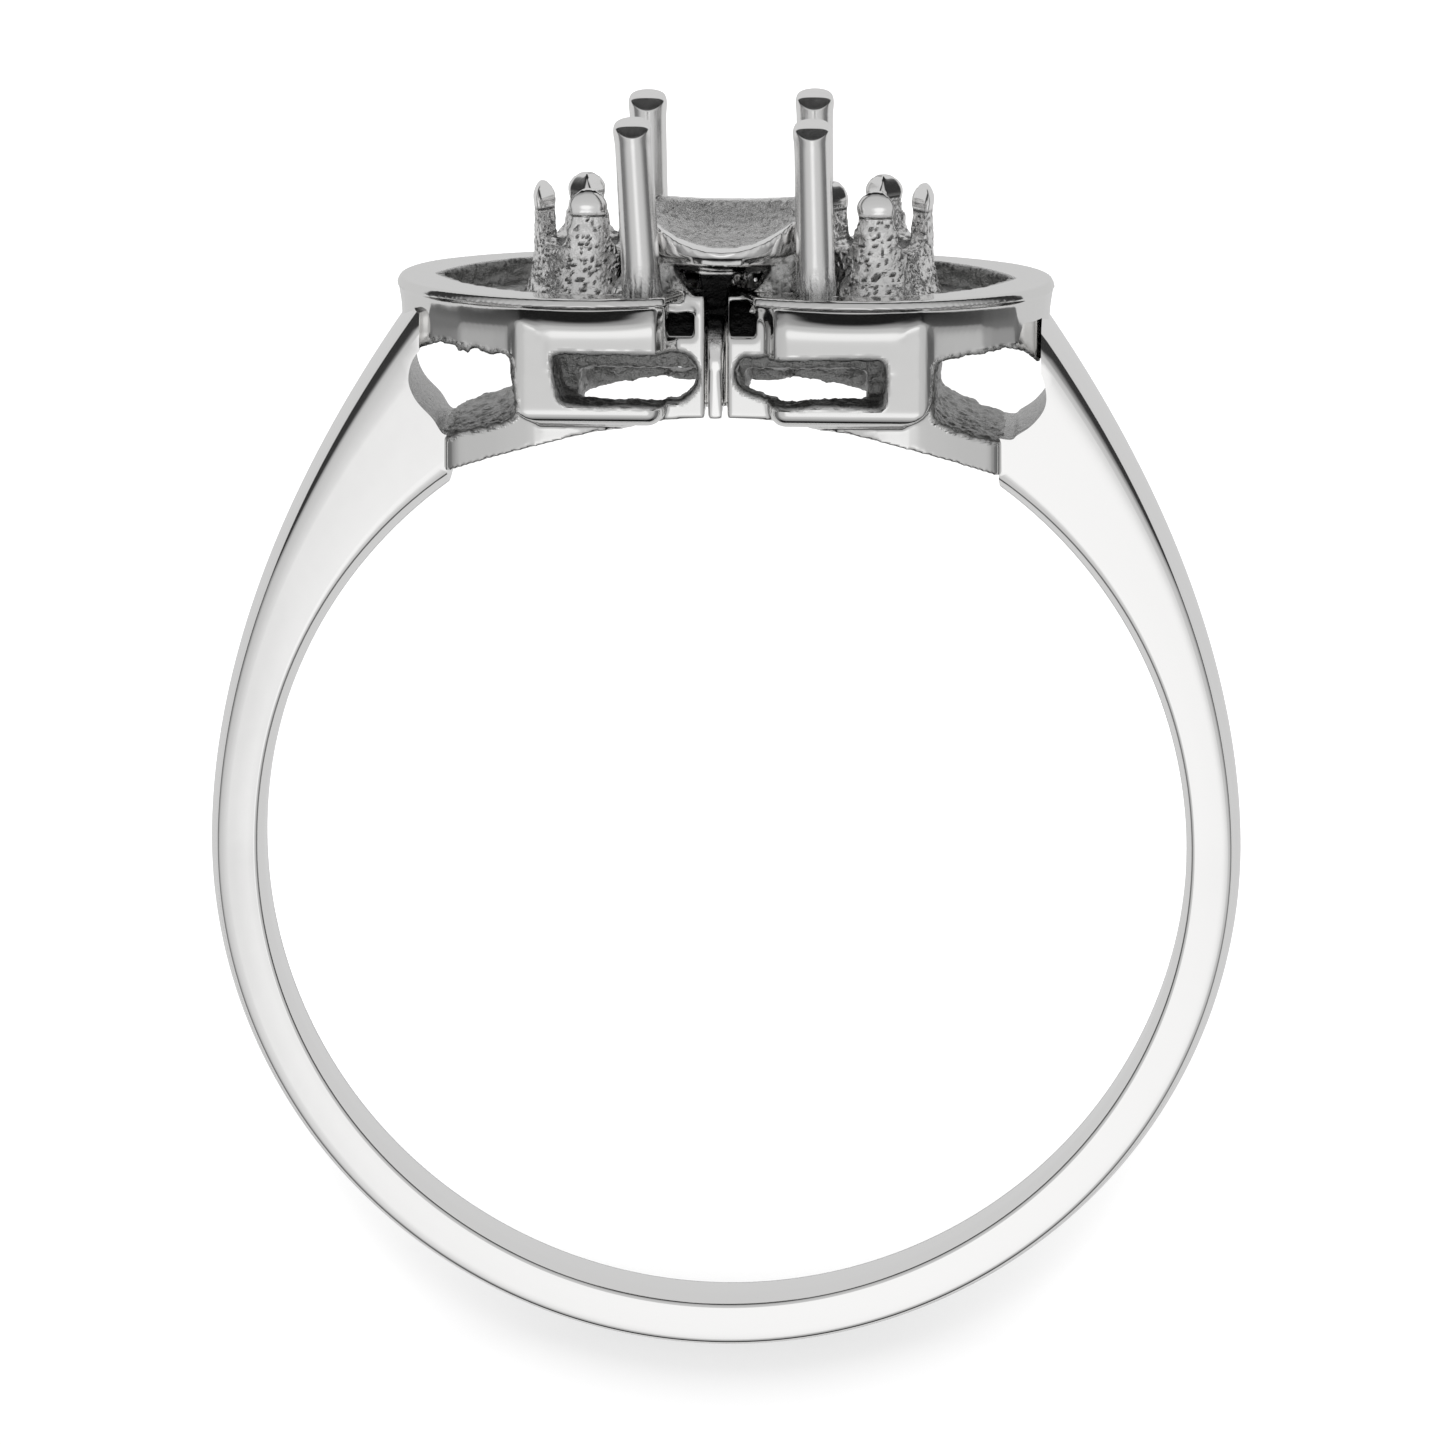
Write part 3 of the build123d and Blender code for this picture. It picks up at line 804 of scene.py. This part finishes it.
# On each side a rib in the cleft, and over it a keel that runs out and up under the cup
rib_line = [(0, -0.6), (1.3, -0.6), (1.66, -0.3), (1.72, 0.9), (1.66, 1.2), (1.26, 1.6), (0, 1.62)]
keel_line = [(0, keel_low), (0.7, keel_low), (1.36, 2.54), (1.2, 2.62), (0, 2.62)]
for side in (-1, 1):
    for line in (rib_line, keel_line):
        rib = slab("rib", [(side * y, crown + z) for y, z in line], -1, 1)
        for vertex in rib.data.vertices:
            y, z, x = vertex.co
            wide = rib_half + keel_flare * max(0, z - crown - keel_low)
            vertex.co = (rib_x + x * wide, y, z)
        turn_out(rib)
        combine(centre_setting, rib, "UNION")
        scrap(rib)
combine(centre_setting, arch_tool, "DIFFERENCE")
scrap(arch_tool)
cast_solid(centre_setting, voxel=0.045, polishing=4)


def cup_skin(p):
    """The inside of the cup, parted from its outside by a cone."""
    bowl_r = 1.3 + 0.75 * (p.z - crown - 2.75)
    return 1.0 if p.z > cup_low and p.x**2 + p.y**2 < bowl_r**2 else 0.0


def cleft_painted_shade(p, share):
    """Painted shade, black on the ribs' upper ends and the keels, and black pits in the cup."""
    if abs(p.y) > 0.5 and p.z < shade_high:
        return 2 * min(1, max(0, (p.z - shade_low) / 0.4), max(0, (shade_high - p.z) / 0.05))
    return max(share, 0.9 * pits(p, share))


mark_cast(centre_setting, cup_skin, cleft_painted_shade)
roughen(centre_setting, strength=0.05, size=0.2)
hand_over(centre_setting, bright_gold)

# Centre prongs: four round wires of white gold that hold the centre stone, soldered into the lobes'
# floors beside the cup. The solder swells round their feet, and each tip is filed off in front.
prongs = (  # foot x, y, tip x, y and height over the crown
    ("prong_front_left", -1.44, -1.7, -1.665, -1.78, 5.49),
    ("prong_front_right", 1.77, -1.7, 1.68, -1.78, 5.48),
    ("prong_back_left", -1.5, 1.7, -1.545, 1.78, 5.38),
    ("prong_back_right", 1.6, 1.7, 1.59, 1.78, 5.42),
)
# Height and radius: down from 0 at the tip, but up from -1 at the foot until it gets its length
prong_levels = (
    (-1, 0.5), (-0.93, 0.41), (-0.82, 0.37), (-0.62, 0.345), (-0.45, 0.352), (-0.32, 0.368),
    (-0.22, 0.37), (-0.12, 0.35), (-0.045, 0.29), (0, 0.15),
)
prong_sides, prong_oval = 20, 0.97
foot_top, foot_stretch, foot_sunk = -0.7, 3.2, 0.2  # the solder's foot, and its depth in the floor
filings = ((65, -0.13, -0.16, 0.85), (47, -0.155, -0.16, 0.92))  # slope, y, z, share taken off
solder_high, solder_fade = floor_high + 0.85, 0.4
prong_gold = white_gold_finish(
    "prong_gold", white_gold, (0.7, 0.7, 0.695, 1), bright_rough=0.19, dull_rough=0.26
)
turns = [k / (prong_sides / 2) * pi for k in range(prong_sides)]
first_prong = loft("first_prong", [
    (z, [(r * cos(a), r * prong_oval * sin(a)) for a in turns]) for z, r in prong_levels
])


def copied(first, name):
    piece = first.copy()
    piece.data = first.data.copy()
    piece.name = name
    bpy.context.scene.collection.objects.link(piece)
    return piece


for name, foot_x, foot_y, tip_x, tip_y, high in prongs:
    prong = copied(first_prong, name)
    foot = Vector((foot_x, foot_y, floor_high - foot_sunk))
    tip = Vector((tip_x, tip_y, crown + high))
    length = (tip - foot).length
    for vertex in prong.data.vertices:
        z = vertex.co.z
        vertex.co.z = z + length if z > foot_top else (z + 1) * foot_stretch
    turn = Vector((0, 0, 1)).rotation_difference(tip - foot).to_matrix().to_4x4()
    prong.data.transform(Matrix.Translation(foot) @ turn)
    finish_with(prong, "SUBSURF", levels=3, render_levels=3)
    for slope, y, z, much in filings:
        facet = Vector((tip_x, tip_y + y, crown + high + z))
        out = Vector((0, -cos(radians(slope)), sin(radians(slope))))
        for vertex in prong.data.vertices:
            over = (vertex.co - facet).dot(out)
            if over > 0:
                vertex.co -= out * over * much
    take_up(prong)
    bpy.ops.object.shade_smooth()
    mark_cast(prong, lambda p: min(1, max(0, (solder_high - p.z) / solder_fade)), pits)
    roughen(prong, strength=0.16, size=0.15)
    hand_over(prong, prong_gold)
scrap(first_prong)

# Side settings: two short tubes of white gold, each sawn into four prongs that are filed round at
# their tips. They are cast and soldered into the lobes' floors, and only the tips are polished.
side_r, side_bore_r = 1.0, 0.6
side_foot, side_top, side_gap_low = floor_high - 0.3, crown + 3.98, crown + 2.8
stem_r = 0.82  # from the tube's middle to the middle of each prong
gap_half, gap_half_top = 0.33, 0.46
bulb_low, polish_fade = crown + 3.56, 0.12  # where the polish ends, and how softly
bulb_mid, waist_mid, shaped_long = 0.3, 0.58, 0.8  # down from the top
bend_long, dome_r = 0.14, 0.31
bulb_swell, waist_nip = 0.1, 0.08
foot_flare, flare_high, flare_long = 0.16, crown + 2.75, 0.8
first_setting = rod(96, side_r, side_top - side_foot, (0, 0, (side_top + side_foot) / 2))
tools = [rod(72, side_bore_r, 2.6, (0, 0, side_top + 0.1))]
gap_line = [(-gap_half_top, side_top)] + arc(
    (-gap_half, side_gap_low + gap_half), (0, side_gap_low), (gap_half, side_gap_low + gap_half), 10
)
gap_line += [(gap_half, side_gap_low + gap_half), (gap_half_top, side_top)]
gap_line += [(gap_half_top, side_top + 0.5), (-gap_half_top, side_top + 0.5)]
for angle in (45, 135):
    gap = slab("gap", gap_line, -2, 2, along="Y")
    gap.data.transform(Matrix.Rotation(radians(angle), 4, "Z"))
    tools.append(gap)
for tool in tools:
    combine(first_setting, tool, "DIFFERENCE")
scrap(*tools)
cast_solid(first_setting, voxel=0.045, polishing=5)


def hump(below, middle):
    return exp(-(((below - middle) / bend_long) ** 2))


for vertex in first_setting.data.vertices:
    x, y, z = vertex.co
    below = side_top - z
    if below < shaped_long:  # each prong ends in a small bulb, filed round
        a = round(atan2(y, x) / (pi / 2)) * pi / 2
        stem = Vector((stem_r * cos(a), stem_r * sin(a), 0))
        swell = 1 + bulb_swell * hump(below, bulb_mid) - waist_nip * hump(below, waist_mid)
        dome = sqrt(max(0.06, 1 - (max(0, bulb_mid - below) / dome_r) ** 2))
        stem += (Vector((x, y, 0)) - stem) * swell * dome
        x, y = stem.x, stem.y
    foot = 1 + foot_flare * max(0, (flare_high - z) / flare_long) ** 2
    vertex.co = (x * foot, y * foot, z)


# Painted shade: black in the seam under each bulb and in the stone's seat
seam_z, seam_half, seam_painted_shade = bulb_low - 0.06, 0.05, 1.25
seat_high, seat_r, seat_painted_shade = side_gap_low + 0.35, side_bore_r + 0.05, 1.7


def painted_shade_spots(p, middle_x):
    """Black of painted shade in the seam under each bulb, in the pits, and in the stone's seat."""
    from_middle = p - Vector((middle_x, 0, 0))
    seam = seam_painted_shade * (1 - abs(p.z - seam_z) / seam_half)
    pit = pits(p, 1) if p.z < bulb_low - polish_fade else 0
    in_seat = p.z < seat_high and from_middle.xy.length < seat_r
    return max(0, seam, pit, seat_painted_shade if in_seat else 0)


for name, middle_x, angle in (("side_setting_left", -2.58, 4), ("side_setting_right", 2.88, -3)):
    tube = copied(first_setting, name)
    turn = Matrix.Rotation(radians(angle), 4, "Z")
    tube.data.transform(Matrix.Translation((middle_x, 0, 0)) @ turn)
    mark_cast(
        tube, lambda p: min(1, max(0, (bulb_low - p.z) / polish_fade)),
        lambda p, share: painted_shade_spots(p, middle_x), dull=0.4,
    )
    roughen(tube, strength=0.06, size=0.22)
    roughen(tube, strength=0.03, size=0.06)
    hand_over(tube, bright_gold)
scrap(first_setting)

# Floor: a plain white table, lit from below, less so towards the ring's foot: a painted shadow
# there. The metal sees it as an even grey, a painted reflection.
put_down_tools()
bpy.ops.mesh.primitive_plane_add(size=1.2, location=(0, 0, 0))
floor = bpy.context.object
floor.name = "floor"
bpy.ops.object.mode_set(mode="EDIT")
bpy.ops.mesh.subdivide(number_cuts=6)
bpy.ops.object.mode_set(mode="OBJECT")
white_table = bpy.data.materials.new("white_table")
white_table.use_nodes = True
nodes, links = white_table.node_tree.nodes, white_table.node_tree.links
table = nodes["Principled BSDF"]
table.inputs["Base Color"].default_value = (0.5, 0.5, 0.5, 1)
table.inputs["Roughness"].default_value = 0.9
table.inputs["Specular IOR Level"].default_value = 0
table.inputs["Emission Color"].default_value = (1, 1, 1, 1)
where = nodes.new("ShaderNodeTexCoord")
axes = nodes.new("ShaderNodeSeparateXYZ")
# Painted shadow: the table's light falls off towards the ring's foot
painted_shadow_glow = map_range(nodes, (-0.012, -0.004), (0.42, 0.9))
links.new(where.outputs["Object"], axes.inputs[0])
links.new(axes.outputs["Y"], painted_shadow_glow.inputs["Value"])
links.new(painted_shadow_glow.outputs["Result"], table.inputs["Emission Strength"])
# Painted reflection: the metal sees the table as an even grey light
table_painted_reflection = nodes.new("ShaderNodeEmission")
table_painted_reflection.inputs["Color"].default_value = (0.64, 0.64, 0.64, 1)
in_metal = nodes.new("ShaderNodeLightPath")
either = nodes.new("ShaderNodeMixShader")
links.new(in_metal.outputs["Is Glossy Ray"], either.inputs["Fac"])
links.new(table.outputs[0], either.inputs[1])
links.new(table_painted_reflection.outputs[0], either.inputs[2])
links.new(either.outputs[0], nodes["Material Output"].inputs["Surface"])
floor.data.materials.append(white_table)

# Light: a white tent, seen by the metal as a grey sky with a soft lamp over the ring's foot and a
# dark gap over the horizon, and an area lamp that throws the shadow.
lamp_direction = (0, -0.383, 0.924)
# Brightness by the cosine of the angle to the lamp, and by the height over the horizon
lamp_stops = (
    (0.0, 0.42), (0.5, 0.52), (0.8, 0.56), (0.96, 0.6), (0.981, 0.73), (0.992, 0.95), (1.0, 1.0),
)
horizon_stops = ((0.0, 0.4), (0.03, 0.3), (0.08, 0.02), (0.34, 0.02), (0.52, 0.6), (0.75, 1.0))
tent = bpy.data.worlds.new("tent")
bpy.context.scene.world = tent
tent.use_nodes = True
nodes, links = tent.node_tree.nodes, tent.node_tree.links


def grey_ramp(stops):
    ramp = nodes.new("ShaderNodeValToRGB")
    ramp.color_ramp.interpolation = "EASE"
    for i, (place, light) in enumerate(stops):
        stop = ramp.color_ramp.elements[i] if i < 2 else ramp.color_ramp.elements.new(place)
        stop.position = place
        stop.color = (light, light, light, 1)
    return ramp


direction = nodes.new("ShaderNodeTexCoord")
towards_lamp = nodes.new("ShaderNodeVectorMath")
towards_lamp.operation = "DOT_PRODUCT"
towards_lamp.inputs[1].default_value = lamp_direction
links.new(direction.outputs["Generated"], towards_lamp.inputs[0])
lamp_glow = grey_ramp(lamp_stops)
links.new(towards_lamp.outputs["Value"], lamp_glow.inputs["Fac"])
split = nodes.new("ShaderNodeSeparateXYZ")
links.new(direction.outputs["Generated"], split.inputs[0])
horizon = grey_ramp(horizon_stops)
links.new(split.outputs["Z"], horizon.inputs["Fac"])
# The dark gap is only in front and behind. At the sides it is grey, and paler towards the foot
sideways = nodes.new("ShaderNodeMath")
sideways.operation = "ABSOLUTE"
links.new(split.outputs["X"], sideways.inputs[0])
at_side = map_range(nodes, (0.35, 0.8), (0, 1))
links.new(sideways.outputs[0], at_side.inputs["Value"])
paler = map_range(nodes, (-0.02, -0.2), (0.08, 0.34))
links.new(split.outputs["Y"], paler.inputs["Value"])
links.new(paler.outputs["Result"], at_side.inputs["To Max"])
dark_gap = nodes.new("ShaderNodeMath")
dark_gap.operation = "MAXIMUM"
links.new(horizon.outputs["Color"], dark_gap.inputs[0])
links.new(at_side.outputs["Result"], dark_gap.inputs[1])
sky = colour_mix(nodes)
sky.blend_type = "MULTIPLY"
sky.inputs["Factor"].default_value = 1
links.new(lamp_glow.outputs["Color"], sky.inputs[6])
links.new(dark_gap.outputs[0], sky.inputs[7])
ray = nodes.new("ShaderNodeLightPath")
seen = colour_mix(nodes)
seen.inputs[6].default_value = (1, 1, 1, 1)
links.new(ray.outputs["Is Glossy Ray"], seen.inputs["Factor"])
links.new(sky.outputs[2], seen.inputs[7])
links.new(seen.outputs[2], nodes["Background"].inputs["Color"])
nodes["Background"].inputs["Strength"].default_value = 1

soft_box = bpy.data.lights.new("lamp", "AREA")
soft_box.energy = 0.35
soft_box.size = 0.12
lamp = bpy.data.objects.new("lamp", soft_box)
bpy.context.scene.collection.objects.link(lamp)
lamp.location = (0, 0.16, 0.22)
lamp.rotation_euler = (Vector((0, 0, 0)) - lamp.location).to_track_quat("-Z", "Y").to_euler()
lamp.visible_glossy = False

# Camera: far off with a long lens, 12.5 degrees from straight in front of the ring towards its head
# and a little to its right, which is nearly straight above now that the ring lies on its side.
elevation, azimuth = radians(12.5), radians(2.6)
distance, picture_width, scale = 300.0, 1445, 53.2  # mm, pixels, pixels a mm
sensor_width = 36
left_of_middle, pixels_up = -0.06, 119.8  # from the finger hole's middle to the picture's middle
target = Vector((left_of_middle, 0, pixels_up / (scale * cos(elevation))))
back = Vector((sin(azimuth) * cos(elevation), -cos(azimuth) * cos(elevation), sin(elevation)))
right = Vector((0, 0, 1)).cross(back).normalized()
view = Matrix((right, back.cross(right), back)).transposed().to_4x4()
view.translation = target + back * distance
lens = bpy.data.cameras.new("camera")
lens.sensor_width = sensor_width
lens.lens = scale * distance * sensor_width / picture_width
lens.clip_start, lens.clip_end = 0.01, 5
camera = bpy.data.objects.new("camera", lens)
bpy.context.scene.collection.objects.link(camera)
placed = lying @ view
placed.translation *= mm
camera.matrix_world = placed
bpy.context.scene.camera = camera
bpy.context.scene.view_settings.view_transform = "Standard"
